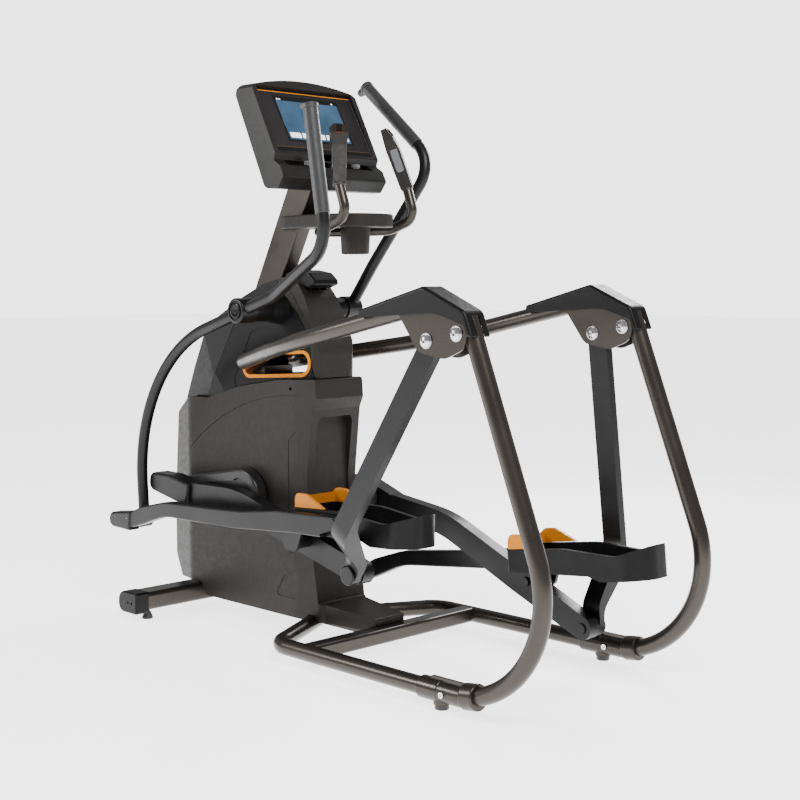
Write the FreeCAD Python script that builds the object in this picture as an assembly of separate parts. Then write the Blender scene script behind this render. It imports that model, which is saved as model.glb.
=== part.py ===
import FreeCAD, Part
import math
import os

os.makedirs("parts", exist_ok=True)
V = FreeCAD.Vector

# Elliptical trainer, millimetres. X runs from the nose of the machine to the back, where the user
# steps on; +Y is the user's right; Z is up from the floor. Shapes are drawn with x = 0 near the nose
# and moved by -CENTRE_X when they are saved, so the saved origin is under the middle of the machine.
CENTRE_X = 1043.0
LEFT, RIGHT = -1, 1
SIDES = {"left": LEFT, "right": RIGHT}

# Tubes of the frame
TUBE_R = 25.5
WALL = 3.0
RAIL_Y = 358.0
BASE_Z = 50.0
CLEAR = 0.05

# Linkage: crank, rocker, lower link, pedal beam and handle, as (x, z) pivots and lengths
CRANK = (572.5, 437.5)
CRANK_R = 300.0
ROCKER_PIVOT = (1665.0, 1000.0)
ROCKER_LEN = 865.0
LINK_LEN = 935.5
BEAM_ON_LINK = (700.0, 35.0)
BEAM_LEN = 833.0
HANDLE_PIVOT = (690.0, 1059.0)
HANDLE_REACH = 926.0

# Planes across the machine, as distances from its middle
HOUSING_Y = 112.0
ARM_Y = (118.0, 157.0)
LINK_Y = (164.0, 208.0)
HANDLE_Y = 236.0
BEAM_Y = (262.0, 300.0)
PEDAL_Y = (86.0, 261.5)
KNUCKLE_Y = (209.0, 248.0)
HUB_Y = (200.0, 262.0)

# Drive
AXLE_R = 15.0
PULLEY_R = 150.0
PULLEY_Y = (58.0, 76.0)
SMALL_PULLEY_R = 25.0
FLYWHEEL = (404.0, 560.0)
FLYWHEEL_R = 130.0
FLYWHEEL_Y = (-76.0, -46.0)


# ---------------------------------------------------------------- geometry helpers
def unite(shapes):
    return shapes[0].multiFuse(shapes[1:]).removeSplitter()


def block(x, y, z):
    return Part.makeBox(x[1] - x[0], y[1] - y[0], z[1] - z[0], V(x[0], y[0], z[0]))


def rod(start, end, radius):
    start, end = V(*start), V(*end)
    return Part.makeCylinder(radius, (end - start).Length, start, end - start)


def pin(centre, y, radius):
    return rod((centre[0], y[0], centre[1]), (centre[0], y[1], centre[1]), radius)


def corner_arc(before, point, after, radius):
    """Tangent points and middle of the arc that rounds a corner."""
    a, b = (before - point).normalize(), (after - point).normalize()
    half = a.getAngle(b) / 2
    reach = radius / math.tan(half)
    centre = point + (a + b).normalize() * (radius / math.sin(half))
    middle = centre + (point - centre).normalize() * radius
    return point + a * reach, middle, point + b * reach, centre


def bent_rod(points, radii, radius):
    """A round bar along straight runs joined by tangent arcs."""
    points = [V(*p) for p in points]
    solids, last = [], points[0]
    for i, bend in enumerate(radii):
        before, point, after = points[i], points[i + 1], points[i + 2]
        first, middle, second, centre = corner_arc(before, point, after, bend)
        if (first - last).Length > 0.01:
            solids.append(Part.makeCylinder(radius, (first - last).Length, last, first - last))
        disc = Part.Face(Part.Wire(Part.makeCircle(radius, first, point - first)))
        axis = (point - first).cross(second - point).normalize()
        turn = math.degrees((point - first).getAngle(second - point))
        solids.append(disc.revolve(centre, axis, turn))
        last = second
    solids.append(Part.makeCylinder(radius, (points[-1] - last).Length, last, points[-1] - last))
    return unite(solids)


def bent_tube(points, radii, radius, wall):
    return bent_rod(points, radii, radius).cut(bent_rod(points, radii, radius - wall))


def outline(points, to_vector):
    """Closed wire through (a, b) or (a, b, corner radius) points."""
    corners = [(to_vector(p[0], p[1]), p[2] if len(p) > 2 else 0.0) for p in points]
    edges, count, ends = [], len(corners), []
    for i, (point, radius) in enumerate(corners):
        before, after = corners[i - 1][0], corners[(i + 1) % count][0]
        if radius:
            first, middle, second, _ = corner_arc(before, point, after, radius)
            ends.append((first, middle, second))
        else:
            ends.append((point, None, point))
    for i, (first, middle, second) in enumerate(ends):
        if middle is not None:
            edges.append(Part.Arc(first, middle, second).toShape())
        following = ends[(i + 1) % count][0]
        if (following - second).Length > 1e-6:
            edges.append(Part.makeLine(second, following))
    return Part.Wire(edges)


def slab(points, y):
    """Prism of an (x, z) outline between two y planes."""
    wire = outline(points, lambda a, b: V(a, y[0], b))
    return Part.Face(wire).extrude(V(0, y[1] - y[0], 0))


def plan(points, z):
    """Prism of an (x, y) outline between two heights."""
    wire = outline(points, lambda a, b: V(a, b, z[0]))
    return Part.Face(wire).extrude(V(0, 0, z[1] - z[0]))


def across(points, x):
    """Prism of a (y, z) outline between two x planes."""
    wire = outline(points, lambda a, b: V(x[0], a, b))
    return Part.Face(wire).extrude(V(x[1] - x[0], 0, 0))


def ease(shape, radius, pick=lambda edge: True):
    """Round the edges that pick() accepts."""
    edges = [e for e in shape.Edges if pick(e)]
    try:
        rounded = shape.makeFillet(radius, edges)
        if rounded.isValid() and rounded.Volume > 0:
            return rounded
    except Part.OCCError:
        pass
    print("edges left sharp:", len(edges), "radius", radius)
    return shape


def on_faces(*ys):
    """Edges that lie wholly in one of the given y planes."""
    return lambda e: any(abs(e.BoundBox.YMin - y) < 0.01 and abs(e.BoundBox.YMax - y) < 0.01 for y in ys)


def mirrored(shape):
    return shape.mirror(V(0, 0, 0), V(0, 1, 0))


def on_side(shape, side):
    return shape if side == RIGHT else mirrored(shape)


def one_solid(shape):
    """The largest solid, after removing coplanar seams."""
    return max(shape.Solids, key=lambda s: s.Volume)


def bar(start, end, depth, y):
    """Rectangular bar between two (x, z) points."""
    length = math.dist(start, end)
    shape = block((0, length), y, (-depth / 2, depth / 2))
    return aim(shape, start, end)


def aim(shape, start, end):
    """Turn local +X to the direction start to end and move the origin to start."""
    angle = -math.degrees(math.atan2(end[1] - start[1], end[0] - start[0]))
    shape = shape.copy()
    shape.rotate(V(0, 0, 0), V(0, 1, 0), angle)
    shape.translate(V(start[0], 0, start[1]))
    return shape


# ---------------------------------------------------------------- linkage
def meet(a, ra, b, rb, side):
    """Where two circles in the x-z plane cross, on the given side of the line a to b."""
    gap = math.dist(a, b)
    along = (ra * ra - rb * rb + gap * gap) / (2 * gap)
    height = math.sqrt(ra * ra - along * along)
    ux, uz = (b[0] - a[0]) / gap, (b[1] - a[1]) / gap
    return (a[0] + along * ux - side * height * uz, a[1] + along * uz + side * height * ux)


def local_point(start, end, offset):
    length = math.dist(start, end)
    ux, uz = (end[0] - start[0]) / length, (end[1] - start[1]) / length
    return (start[0] + offset[0] * ux - offset[1] * uz, start[1] + offset[0] * uz + offset[1] * ux)


def linkage(reach):
    """Pivots of one side: reach -1 has the crank arm pointing to the nose, +1 to the back."""
    crank_pin = (CRANK[0] + reach * CRANK_R, CRANK[1])
    knee = meet(crank_pin, LINK_LEN, ROCKER_PIVOT, ROCKER_LEN, -1)
    saddle = local_point(crank_pin, knee, BEAM_ON_LINK)
    toe = meet(HANDLE_PIVOT, HANDLE_REACH, saddle, BEAM_LEN, -1)
    return {"pin": crank_pin, "knee": knee, "saddle": saddle, "toe": toe}


FRONT, BACK = linkage(-1), linkage(1)
POSE = {LEFT: FRONT, RIGHT: BACK}
FIXED = {"handle": HANDLE_PIVOT, "rocker": ROCKER_PIVOT}
PIN, KNEE, SADDLE, TOE = (FRONT[k] for k in ("pin", "knee", "saddle", "toe"))


def carried(shape, side, origin, target):
    """A shape drawn in the forward position at +Y, moved to where its side stands at rest."""
    def at(pose, name):
        return FIXED.get(name) or pose[name]
    if side == LEFT:
        return mirrored(shape)
    a0, b0 = at(FRONT, origin), at(FRONT, target)
    a1, b1 = at(BACK, origin), at(BACK, target)
    turn = math.atan2(b0[1] - a0[1], b0[0] - a0[0]) - math.atan2(b1[1] - a1[1], b1[0] - a1[0])
    moved = shape.copy()
    moved.rotate(V(a0[0], 0, a0[1]), V(0, 1, 0), math.degrees(turn))
    moved.translate(V(a1[0] - a0[0], 0, a1[1] - a0[1]))
    return moved


# ---------------------------------------------------------------- base frame
STABILIZER_X = (205.0, 295.0)
STABILIZER_Z = (32.0, 94.0)
STABILIZER_Y = 340.0
CROSS_X = (1112.0, 1168.0)
FOOT_BACK_X = 1695.0
FOOT_FRONT = (268.0, 322.0)
SOCKET_X = (1622.0, 1832.0)
UPRIGHT_ARC = (1745.0, 350.0, 300.0)
UPRIGHT_LEAN = math.radians(21.4)
WHEEL = (222.0, 58.0)
WHEEL_R = 30.0


def front_stabilizer():
    xm, zm = STABILIZER_X, STABILIZER_Z
    def section(inset, corner):
        x0, x1, z0, z1 = xm[0] + inset, xm[1] - inset, zm[0] + inset, zm[1] - inset
        points = [(x0, z0, corner), (x1, z0, corner), (x1, z1, corner), (x0, z1, corner)]
        return slab(points, (-STABILIZER_Y, STABILIZER_Y))
    return section(0, 14).cut(section(WALL, 11))


def stabilizer_cap(side):
    y = (STABILIZER_Y, 392.0)
    body = slab([(196, 26, 30), (302, 26, 8), (302, 99, 8), (196, 99, 34)], y)
    body = ease(body, 6.0, on_faces(y[1]))
    slot = pin(WHEEL, (353, 379), WHEEL_R + 5)
    slot = slot.fuse(block((150, WHEEL[0]), (353, 379), (WHEEL[1] - 32, WHEEL[1] + WHEEL_R + 5)))
    screws = [pin((x, 62), (386, 400), 4.5) for x in (254, 276)]
    body = body.cut(slot).cut(pin(WHEEL, (344, 388), 6.0)).cut(Part.makeCompound(screws))
    return on_side(one_solid(body), side)


def transport_wheel(side):
    wheel = ease(pin(WHEEL, (355, 377), WHEEL_R), 4.0, lambda e: e.Length > 150)
    for y in ((350, 358), (374, 385)):
        wheel = wheel.cut(pin(WHEEL, y, 19).cut(pin(WHEEL, y, 11)))
    return on_side(wheel.cut(pin(WHEEL, (350, 382), 6.0 + CLEAR)), side)


def levelling_feet():
    feet = []
    for side in (LEFT, RIGHT):
        back = ease(rod((FOOT_BACK_X, 358, 0), (FOOT_BACK_X, 358, 15), 20), 2.5, lambda e: e.Length > 100)
        cone = Part.makeCone(19, 11, 20, V(FOOT_FRONT[0], FOOT_FRONT[1], 5))
        pad = rod((*FOOT_FRONT, 0), (*FOOT_FRONT, 5), 19)
        stud = rod((*FOOT_FRONT, 25), (*FOOT_FRONT, 32), 8)
        feet += [on_side(back, side), on_side(unite([pad, cone, stud]), side)]
    return Part.makeCompound(feet)


BASE_PATH = [(835, 38, BASE_Z), (1000, RAIL_Y, BASE_Z), (1738, RAIL_Y, BASE_Z)]


def base_tube(side):
    tube = bent_tube(BASE_PATH, [85], TUBE_R, WALL).cut(block((700, 1112), (-36, 35.1), (0, 100)))
    return on_side(one_solid(tube), side)


def cross_member():
    half = RAIL_Y - 8
    beam = slab([(CROSS_X[0], 27, 10), (CROSS_X[1], 27, 10), (CROSS_X[1], 74, 10), (CROSS_X[0], 74, 10)],
                (-half, half))
    x, z = (CROSS_X[0] + WALL, CROSS_X[1] - WALL), (30, 71)
    hollow = slab([(x[0], z[0], 7), (x[1], z[0], 7), (x[1], z[1], 7), (x[0], z[1], 7)], (-half, half))
    beam = beam.cut(hollow)
    for y in (-RAIL_Y, RAIL_Y):
        beam = beam.cut(rod((1000, y, BASE_Z), (1300, y, BASE_Z), TUBE_R + 0.05))
    return one_solid(beam)


def upright_path():
    cx, cz, radius = UPRIGHT_ARC
    top_z = 1062.0
    nx, nz = math.cos(UPRIGHT_LEAN), math.sin(UPRIGHT_LEAN)
    leave = (cx + radius * nx, cz + radius * nz)
    top_x = leave[0] - (top_z - leave[1]) * math.tan(UPRIGHT_LEAN)
    corner = meet_lines((cx, cz - radius), (1, 0), leave, (nz, -nx))
    return [(cx, RAIL_Y, cz - radius), (corner[0], RAIL_Y, corner[1]), (top_x, RAIL_Y, top_z)]


def meet_lines(p, u, q, w):
    """Crossing point of the lines p + t u and q + s w."""
    det = u[0] * w[1] - u[1] * w[0]
    t = ((q[0] - p[0]) * w[1] - (q[1] - p[1]) * w[0]) / det
    return (p[0] + t * u[0], p[1] + t * u[1])


def rear_upright(side):
    tube = bent_tube(upright_path(), [UPRIGHT_ARC[2]], TUBE_R, WALL)
    tube = tube.cut(pin(GUSSET_BOLTS[1], (300, 420), 8.0))
    return on_side(one_solid(tube), side)


def rear_socket(side):
    y = RAIL_Y
    collar = ease(rod((SOCKET_X[0], y, BASE_Z), (1700, y, BASE_Z), 32), 4, lambda e: e.Length > 150)
    body = rod((1695, y, BASE_Z), (1800, y, BASE_Z), 30)
    ring = ease(rod((1784, y, 54), (SOCKET_X[1], y, 60), 37), 5, lambda e: e.Length > 150)
    boss = rod((FOOT_BACK_X, y, 15), (FOOT_BACK_X, y, BASE_Z), 24)
    rib = block((1660, 1790), (y - 6, y + 6), (BASE_Z, 88))
    cast = unite([collar, body, ring, boss, rib])
    cast = cast.cut(rod((1500, y, BASE_Z), (1738, y, BASE_Z), TUBE_R))
    cast = cast.cut(bent_rod(upright_path(), [UPRIGHT_ARC[2]], TUBE_R))
    cast = cast.cut(pin((1722, BASE_Z), (y + 28, y + 40), 9)).cut(pin((1722, BASE_Z), (y - 40, y - 28), 9))
    return on_side(one_solid(cast), side)


RAIL_BENDS = [900.0, 60.0]


def rail_path():
    """Centreline of a side rail: straight, swept in towards the housing, then turned into it."""
    sweep = math.radians(25.0)
    corner_x, knee_x = 1250.0 - RAIL_BENDS[0] * math.tan(sweep / 2), 545.0
    corner_z = 869.0 + 0.22 * (corner_x - 600.0)
    knee_y = RAIL_Y - (corner_x - knee_x) * math.tan(sweep)
    return [(1655, RAIL_Y, corner_z + 0.22 * (1655 - corner_x)), (corner_x, RAIL_Y, corner_z),
            (knee_x, knee_y, 881.0), (565.0, 40.0, 877.0)]


def side_rail(side):
    return on_side(bent_tube(rail_path(), RAIL_BENDS, TUBE_R, WALL), side)


def main_frame():
    """Welded spine and posts inside the housing, with the bearing tubes for the axles."""
    spine = block((295, CROSS_X[0]), (-35, 35), (32, 82))
    front = bar((350, 60), (448, 880), 56, (-26, 26))
    back = bar((905, 60), CRANK, 46, (-26, 26))
    brace = bar(CRANK, (425, 640), 46, (-26, 26))
    neck = bar((430, 852), HANDLE_PIVOT, 60, (-26, 26))
    bearing = pin(CRANK, (-55, 55), 36)
    hub = pin(HANDLE_PIVOT, (-62, 62), 34)
    wheel_bearing = pin(FLYWHEEL, (-40, 55), 26)
    saddle = block((425, 592), (-62, 62), (824, 868))
    for y in (LEFT, RIGHT):
        saddle = saddle.cut(on_side(bent_rod(rail_path(), RAIL_BENDS, TUBE_R + 0.05), y))
    frame = unite([spine, front, back, brace, neck, bearing, hub, wheel_bearing, saddle])
    frame = frame.cut(pin(CRANK, (-80, 80), AXLE_R + CLEAR)).cut(pin(FLYWHEEL, (-80, 80), 10 + CLEAR))
    axle = pin(HANDLE_PIVOT, (-HUB_Y[1] + 6, HUB_Y[1] - 6), 12.5)
    return frame.fuse(axle).removeSplitter()


# ---------------------------------------------------------------- gussets at the top of the uprights
GUSSET_BOLTS = [ROCKER_PIVOT, (1774.0, 1022.0)]
PLATE_Y = ((326.5, 332.0), (384.0, 389.5))
COVER_Y = (318.0, 398.0)
COVER_TOP = [(1404, 1056), (1404, 1078, 6), (1655, 1146, 28), (1806, 1082, 30), (1834, 1014, 4)]


def gusset(side):
    shape = [(1548, 1082, 5), (1634, 968, 46), (1730, 953, 60), (1820, 990, 44), (1796, 1054, 12),
             (1700, 1108, 30), (1620, 1104, 20)]
    plates = unite([slab(shape, PLATE_Y[0]), slab(shape, PLATE_Y[1]),
                    block((1600, 1640), (332, 384), (1062, 1070))])
    cutters = [pin(c, (300, 420), 8.0) for c in GUSSET_BOLTS]
    cutters += [bent_rod(rail_path(), RAIL_BENDS, TUBE_R), bent_rod(upright_path(), [300.0], TUBE_R)]
    for cutter in cutters:
        plates = plates.cut(cutter)
    return on_side(plates, side)


def gusset_cover(side):
    lower = [(1814, 1014), (1808, 1044, 18), (1700, 1076, 200), (1560, 1066)]
    outer = slab(COVER_TOP + lower, COVER_Y)
    outer = ease(outer, 9.0, lambda e: on_faces(*COVER_Y)(e) and e.BoundBox.ZMax > 1079)
    inner = slab([(1380, 1000), (1380, 1066), (1655, 1139, 24), (1800, 1077, 26), (1827, 1010), (1827, 1000)],
                 (326.2, 389.8))
    nose = slab([(1380, 1000), (1380, 1110), (1408, 1110), (1408, 1000)], (300, 420))
    shell = outer.cut(inner)
    shell = shell.cut(bent_rod(rail_path(), RAIL_BENDS, TUBE_R + 0.3))
    shell = shell.cut(bent_rod(upright_path(), [300.0], TUBE_R + 2))
    return on_side(one_solid(shell.cut(nose)), side)


def frame_bolts():
    """Gusset bolts with domed heads, socket bolts, rail screws and wheel pins."""
    solids = []
    for centre in GUSSET_BOLTS:
        for face, out in ((PLATE_Y[1][1], 1), (PLATE_Y[0][0], -1)):
            washer = pin(centre, sorted((face, face + 3 * out)), 21)
            dome = Part.makeSphere(30, V(centre[0], face - 17 * out, centre[1]))
            head = dome.common(pin(centre, sorted((face + 3 * out, face + 14 * out)), 17))
            socket = hexagon(centre, sorted((face + 7 * out, face + 20 * out)), 6.5)
            solids.append(unite([washer, head]).cut(socket))
        solids.append(pin(centre, (PLATE_Y[0][0], PLATE_Y[1][1]), 8.0))
    for out in (-1, 1):
        bolt = pin((1722, BASE_Z), sorted((RAIL_Y + 30 * out, RAIL_Y + 35 * out)), 8.5)
        solids.append(bolt.cut(hexagon((1722, BASE_Z), sorted((RAIL_Y + 33 * out, RAIL_Y + 40 * out)), 3.5)))
    solids.append(rod((1575, RAIL_Y, 1050.2), (1575, RAIL_Y, 1042), 6))
    solids.append(pin(WHEEL, (345, 387), 6.0))
    both = [on_side(s, side) for side in (LEFT, RIGHT) for s in solids]
    return Part.makeCompound(both)


def hexagon(centre, y, radius):
    points = [(centre[0] + radius * math.cos(math.radians(a)), centre[1] + radius * math.sin(math.radians(a)))
              for a in range(0, 360, 60)]
    return slab(points, y)


# ---------------------------------------------------------------- housing
HOUSING_SIDE = [(52, 178, 10), (78, 450, 60), (112, 684, 8), (232, 748, 12), (345, 752, 40), (520, 800, 200),
                (720, 832, 200), (892, 841, 10), (898, 778, 6), (880, 742, 6), (854, 520, 120),
                (876, 290, 120), (902, 116, 8), (1128, 98, 5), (1128, 56, 4), (330, 56, 20), (296, 98, 3),
                (200, 98, 3), (135, 92, 6)]
HOUSING_PLAN = [(46, 42, 40), (235, HOUSING_Y, 80), (800, HOUSING_Y, 200), (908, 102, 26), (922, 88, 20),
                (1140, 60, 10)]
SHELL_WALL = 3.0
UPPER_SIDE = [(150, 738, 2), (170, 717.5, 2), (234, 751.5, 8), (345, 754), (520, 802, 200), (720, 834, 200),
              (884, 842, 4), (878, 935, 120), (836, 1043, 150), (808, 1099, 80), (770, 1145, 24),
              (694, 1166, 20), (588, 1141, 60), (489, 1099, 60), (324, 1011, 40), (277, 950, 80), (212, 849, 100)]


def mirrored_outline(points):
    return list(points) + [(p[0], -p[1], *p[2:]) for p in reversed(points)]


def inset_side(points, wall):
    """An (x, z) outline moved inwards by the wall thickness."""
    wire = outline(points, lambda a, b: V(a, 0, b))
    return wire.makeOffset2D(-wall, 0, False, False)


def back_recess(inset):
    """Shallow hollow with a rounded head that runs down the back face."""
    reach, half = 846 - inset, 74 + inset
    pocket = across([(-half, 122), (half, 122), (half, 722 + inset, 30), (-half, 722 + inset, 30)], (reach, 1000))
    ramp = slab([(reach, 716), (reach, 250), (1000, 250), (1000, 716)], (-half, half))
    return pocket.common(ramp)


def lower_body(inset):
    half = HOUSING_Y - inset
    scale = half / HOUSING_Y
    plan_points = [(p[0] + (inset if i == 0 else 0) - (inset if i > 2 else 0), p[1] * scale, *p[2:])
                   for i, p in enumerate(HOUSING_PLAN)]
    if inset:
        side = Part.Face(inset_side(HOUSING_SIDE, inset)).extrude(V(0, 2 * half, 0))
        side.translate(V(0, -half, 0))
    else:
        side = slab(HOUSING_SIDE, (-half, half))
    body = side.common(plan(mirrored_outline(plan_points), (40, 900)))
    return body.cut(back_recess(inset))


def groove(points, depth=2.0, width=2.4):
    """A thin panel gap along an open (x, z) line, cut into both side walls."""
    cutters = []
    for a, b in zip(points, points[1:]):
        cutters.append(bar(a, b, width, (HOUSING_Y - depth, HOUSING_Y + 5)))
    return cutters


def arc_points(a, mid, b, count=8):
    curve = Part.Arc(V(a[0], 0, a[1]), V(mid[0], 0, mid[1]), V(b[0], 0, b[1])).toShape()
    return [(p.x, p.z) for p in curve.discretize(count + 1)]


def post_clearance():
    """Room for the front post of the frame where it passes through the housing walls."""
    return bar((347.1, 36), (450, 897), 57, (-26.6, 26.6))


def lower_shell(side):
    outer, inner = lower_body(0), lower_body(SHELL_WALL)
    shell = outer.cut(inner)
    half = block((0, 1300), (0, 200), (0, 1000))
    shell = shell.common(half)
    seam = arc_points((150, 480), (390, 674), (905, 782), 10)
    recess = slab([(700, 118, 12), (745, 190, 30), (900, 240, 20), (900, 118, 12)], (HOUSING_Y - 1.5, 130))
    side_panel = slab([(770, 270, 10), (770, 640, 14), (838, 690, 14), (838, 270, 10)],
                      (HOUSING_Y - 1.2, 130))
    cutters = groove(seam) + [recess, side_panel, pin((782, 806), (90, 130), 6)]
    cutters += [pin(CRANK, (90, 130), 22), bent_rod(BASE_PATH, [85], TUBE_R + 1.5)]
    cutters += [block((200, 300), (-200, 200), (20, 99)), block((290, 1115), (-36, 36), (20, 84))]
    cutters += [block((CROSS_X[0] - 0.5, 1300), (-200, 200), (20, 75))]
    for cutter in cutters + [post_clearance()]:
        shell = shell.cut(cutter)
    return on_side(one_solid(shell), side)


def upper_body(inset):
    """Tapered upper housing: its sides lean in towards the top."""
    low, high = 104.0 - inset, 62.0 - inset
    wedge = across([(-low, 700), (low, 700), (low, 740), (high, 1180), (-high, 1180), (-low, 740)], (100, 950))
    if inset:
        side = Part.Face(inset_side(UPPER_SIDE, inset)).extrude(V(0, 240, 0))
        side.translate(V(0, -120, 0))
    else:
        side = slab(UPPER_SIDE, (-120, 120))
    body = side.common(wedge)
    nose = plan(mirrored_outline([(140 + inset, 54 - inset, 14), (345, 93 - inset, 120), (480, 106 - inset, 60),
                                  (848 - inset, 106 - inset, 8), (880 - inset, 70, 12), (890 - inset, 30, 60)]),
                (700, 1200))
    return body.common(nose)


SHELL_LINE = [(640, 1185), (705, 1100, 60), (775, 1050, 60), (816, 1004, 90), (850, 943, 200), (872, 834),
              (872, 700)]
PANEL_LINE = [(500, 1105), (447, 1002, 60), (372, 850, 200), (330, 770, 20), (322, 700)]
PANEL_GAP = 2.6
SIDE_RECESS = [(470, 820, 30), (545, 985, 30), (600, 1000, 20), (830, 986, 20), (872, 830), (700, 760), (500, 760)]
SLOT_X = (514.0, 857.0)
SLOT_MID_Z = (870.0, 890.0)
SLOT_HALF = 43.0


def slot_prism(grow, y):
    """Round-ended opening in the side wall, a little higher at its back end."""
    half, round_end = SLOT_HALF + grow, SLOT_HALF + grow - 1
    front, back = SLOT_X[0] - grow, SLOT_X[1] + grow
    points = [(front, SLOT_MID_Z[0] - half, round_end), (back, SLOT_MID_Z[1] - half, round_end),
              (back, SLOT_MID_Z[1] + half, round_end), (front, SLOT_MID_Z[0] + half, round_end)]
    return slab(points, y)


def upper_region(points, front, gap=0.0):
    """Everything ahead of a seam line, or behind it, widened by the gap between two panels."""
    far = -200 if front else 1400
    region = slab(list(points) + [(far, 700), (far, 1185)], (-200, 200))
    region.translate(V(gap if front else -gap, 0, 0))
    return region


def side_recess():
    """Shallow step pressed into the side panel around the opening for the rail."""
    return slab(SIDE_RECESS, (60, 130)).cut(upper_body(1.4))


def upper_cut(shape, cutters):
    for cutter in cutters:
        shape = shape.cut(cutter)
    return shape


def upper_hull():
    return upper_body(0).cut(upper_body(SHELL_WALL))


def pivot_boss(inset):
    """Round boss that flares where it leaves the side cover."""
    x, z = HANDLE_PIVOT
    flare = Part.makeCone(50 - inset, 39 - inset, 70, V(x, 62, z), V(0, 1, 0))
    return flare.fuse(pin(HANDLE_PIVOT, (62, 198), 37 - inset)).removeSplitter()


def upper_shell(side):
    hull = upper_hull().common(block((0, 1400), (0, 200), (700, 1300)))
    hull = hull.cut(upper_region(SHELL_LINE, False, PANEL_GAP)).cut(upper_region(PANEL_LINE, True, PANEL_GAP))
    hull = hull.cut(side_recess())
    boss = pivot_boss(0).cut(pivot_boss(3.5))
    disc = pin(HANDLE_PIVOT, (192, 198), 34).cut(pin(HANDLE_PIVOT, (190, 200), 13.5))
    hull = hull.cut(pivot_boss(3.5)).fuse([boss.common(block((0, 1400), (66, 200), (700, 1300))), disc])
    hull = upper_cut(hull, [slot_prism(0.2, (60, 130)), mast_hole(), rail_clearance(), post_clearance()])
    return on_side(one_solid(hull), side)


def rail_clearance():
    return bent_rod(rail_path(), RAIL_BENDS, TUBE_R + 1.0)


def rear_shell():
    hull = upper_hull().common(upper_region(SHELL_LINE, False))
    grooves = [bar((700, 1160), (806, 1040), 2.0, (-200, -30)), bar((700, 1160), (806, 1040), 2.0, (30, 200))]
    hull = upper_cut(hull, [mast_hole(), slot_prism(0.2, (60, 130)), mirrored(slot_prism(0.2, (60, 130)))])
    hull = upper_cut(hull, [pivot_boss(-0.3), mirrored(pivot_boss(-0.3)), top_cap_seat()])
    return one_solid(hull.cut(Part.makeCompound(grooves)))


def front_panel():
    hull = upper_hull().common(upper_region(PANEL_LINE, True))
    return one_solid(hull.cut(mast_hole()).cut(post_clearance()))


def top_cap_seat():
    return block((712, 788), (-44, 44), (1110, 1180))


def top_cap():
    cap = slab([(684, 1158, 4), (800, 1130, 6), (838, 1142, 6), (834, 1158, 8), (806, 1180, 14), (744, 1189, 14),
                (694, 1180, 8)], (-52, 52))
    cap = ease(cap, 6.0, on_faces(-52, 52))
    return one_solid(cap.cut(upper_body(0)).cut(mast_hole()))


def slot_frames():
    """Oblong collars where the side rails enter the housing."""
    outer = slot_prism(0, (64, 120)).common(upper_body(-2.5))
    collar = outer.cut(slot_prism(-11, (60, 125))).cut(rail_clearance())
    rings = [s for s in collar.Solids if s.Volume > 500]
    return Part.makeCompound(rings + [mirrored(s) for s in rings])


# ---------------------------------------------------------------- mast, handlebar and console
MAST_HALF = 29.0
MAST_DEPTH = 110.0
MAST_LINE = ((499.5, 1122.5), (671.0, 1451.0))
MAST_LENGTH = 470.0
TRAY_Z = (1322.0, 1364.0)
GRIP_LOW, GRIP_HIGH = (1058.0, 146.0, 1449.0), (1008.0, 101.0, 1637.0)


def mast():
    """Box mast. Its local X runs up the front face and local -Z points to the back."""
    def column(inset, ends):
        y = (-MAST_HALF + inset, MAST_HALF - inset)
        shape = block((-150 + ends, MAST_LENGTH - ends), y, (-MAST_DEPTH + inset, -inset))
        return ease(shape, 8.0 - inset, lambda e: abs(e.Length - (MAST_LENGTH + 150 - 2 * ends)) < 0.1)
    box = aim(column(0, 0).cut(column(WALL, -1)), *MAST_LINE)
    return one_solid(box.cut(main_frame()))


def mast_hole():
    hole = block((-400, 700), (-MAST_HALF - 0.6, MAST_HALF + 0.6), (-MAST_DEPTH - 0.6, 0.6))
    return aim(hole, *MAST_LINE)


HANDLEBAR = [(800, 0, 1311), (900, 60, 1311), (985, 144, 1316), (1092, 146, 1352)]


def fixed_handlebar():
    r = 16.0
    right = HANDLEBAR + [GRIP_LOW]
    half = bent_rod(right, [60, 60, 42], r)
    tip = grip_point(0.25)
    half = half.fuse(rod(GRIP_LOW, tip, r))
    return unite([half, mirrored(half)]).cut(mast_hole())


def grip_point(t):
    return tuple(a + (b - a) * t for a, b in zip(GRIP_LOW, GRIP_HIGH))


def grip_frame(shape):
    """Place a shape whose local Z runs up the grip and local X faces the user."""
    up = (V(*GRIP_HIGH) - V(*GRIP_LOW)).normalize()
    side = up.cross(V(1, 0.75, 0.25)).normalize()
    front = side.cross(up).normalize()
    matrix = FreeCAD.Matrix(front.x, side.x, up.x, GRIP_LOW[0], front.y, side.y, up.y, GRIP_LOW[1],
                            front.z, side.z, up.z, GRIP_LOW[2], 0, 0, 0, 1)
    placed = shape.copy()
    placed.transformShape(matrix, True)
    return placed


GRIP_WIDTH = [(-20, 0, 3), (20, 0, 3), (21, 120, 60), (29, 158, 12), (30, 184, 4), (14, 202, 5), (-29, 196, 5),
              (-29, 158, 12), (-21, 120, 60)]
GRIP_DEPTH = [(-19, -5), (19, -5), (20, 118, 50), (13, 166, 10), (-2, 206), (-15, 206, 4), (-22, 130, 60)]
KEY_CENTRE = (7.5, 181.0)
KEY_TILT = math.degrees(math.atan2(15, 40))


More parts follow.
